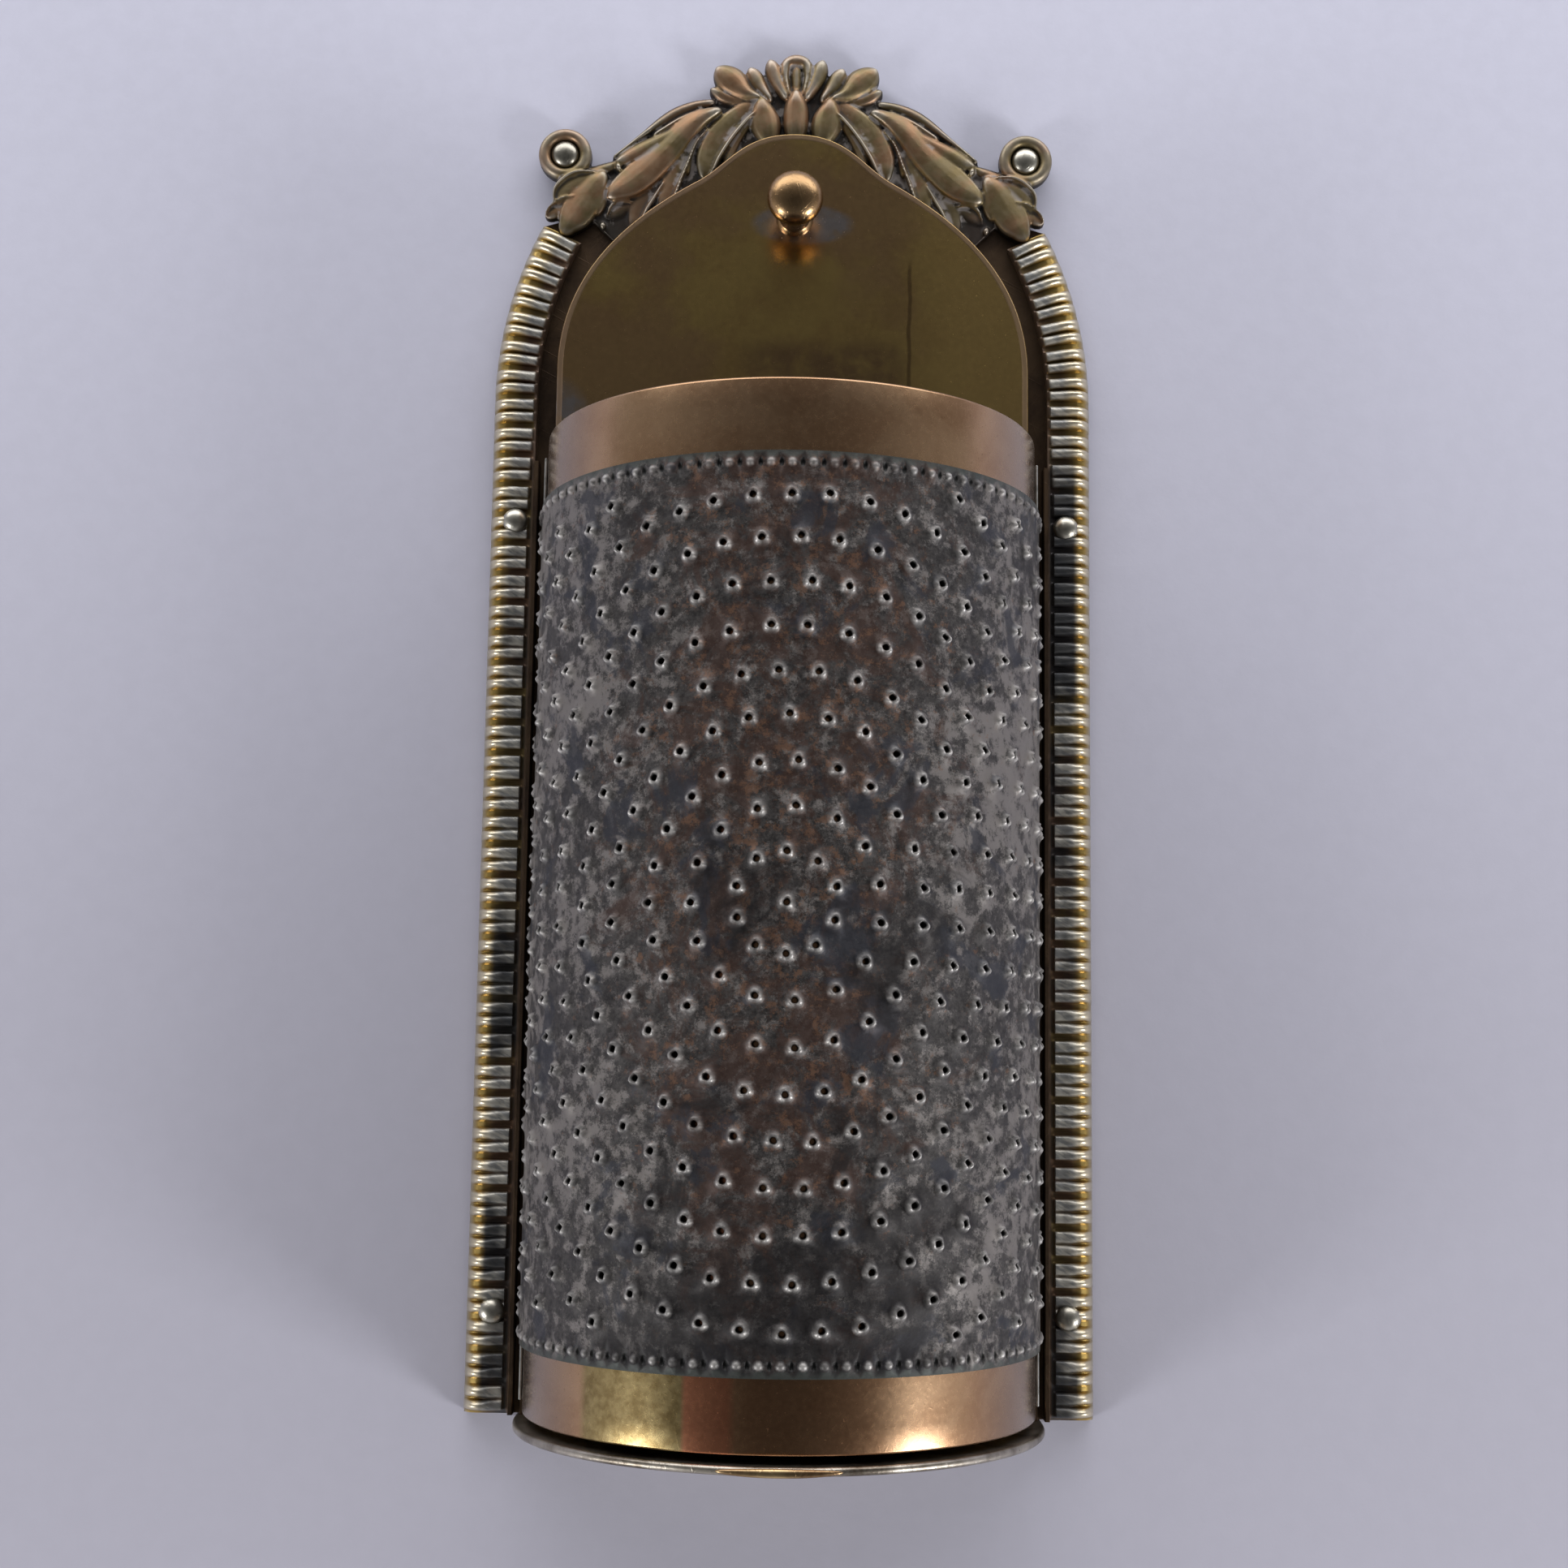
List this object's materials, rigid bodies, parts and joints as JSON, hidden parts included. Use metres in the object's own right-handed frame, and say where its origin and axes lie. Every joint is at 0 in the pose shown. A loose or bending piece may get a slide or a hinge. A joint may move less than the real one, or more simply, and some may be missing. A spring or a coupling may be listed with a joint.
{
  "type": "nutmeg grater",
  "caption": "Brass nutmeg grater: a half-round steel rasp fixed over a sliding half-round drawer, with ridged side borders, a leaf and palmette crest and a ball knob.",
  "frame": {"origin": "centre of the back face's bounding rectangle, with the part lying on its back", "axes": "+Z out of the rasp, +Y along the rails towards the crest and the way the drawer pulls out, +X to the right seen from the front"},
  "size_m": [0.0576, 0.132, 0.0275],
  "materials": {
    "frame_brass": "dull aged brass with dark dirt in the corners",
    "crest_brass": "cast brass, rubbed on the high points, grey residue in the recesses",
    "border_brass": "cast brass with greyed bright ridges and golden-brown grooves",
    "grey_brass": "greyed worn brass",
    "lip_brass": "golden brass with bright ends",
    "rasp_steel": "dark tarnished steel with brown rust blotches",
    "band_brass": "satin copper-toned brass, fine specks",
    "plate_brass": "polished olive-brown aged brass with fine scratches",
    "knob_brass": "polished brass"
  },
  "bodies": {
    "frame": {"frame_plate": "frame_brass", "crest_ornament": "crest_brass", "gadroon_border_right": "border_brass", "gadroon_border_left": "border_brass", "guide_strip_right": "frame_brass", "guide_strip_left": "frame_brass", "base_plate": "grey_brass", "base_lip": "lip_brass", "rasp_sheet": "rasp_steel", "rivet_bottom_left": "grey_brass", "rivet_top_left": "grey_brass", "scroll_pin_left": "grey_brass", "rivet_bottom_right": "grey_brass", "rivet_top_right": "grey_brass", "scroll_pin_right": "grey_brass"},
    "drawer": {"drawer_shell": "band_brass", "drawer_back_plate": "plate_brass", "drawer_floor": "plate_brass", "knob": "knob_brass"}
  },
  "joints": [
    {"name": "drawer_slide", "type": "slide", "parent": "frame", "child": "drawer", "axis": [0, 1, 0], "range_m": [0, 0.08]}
  ]
}
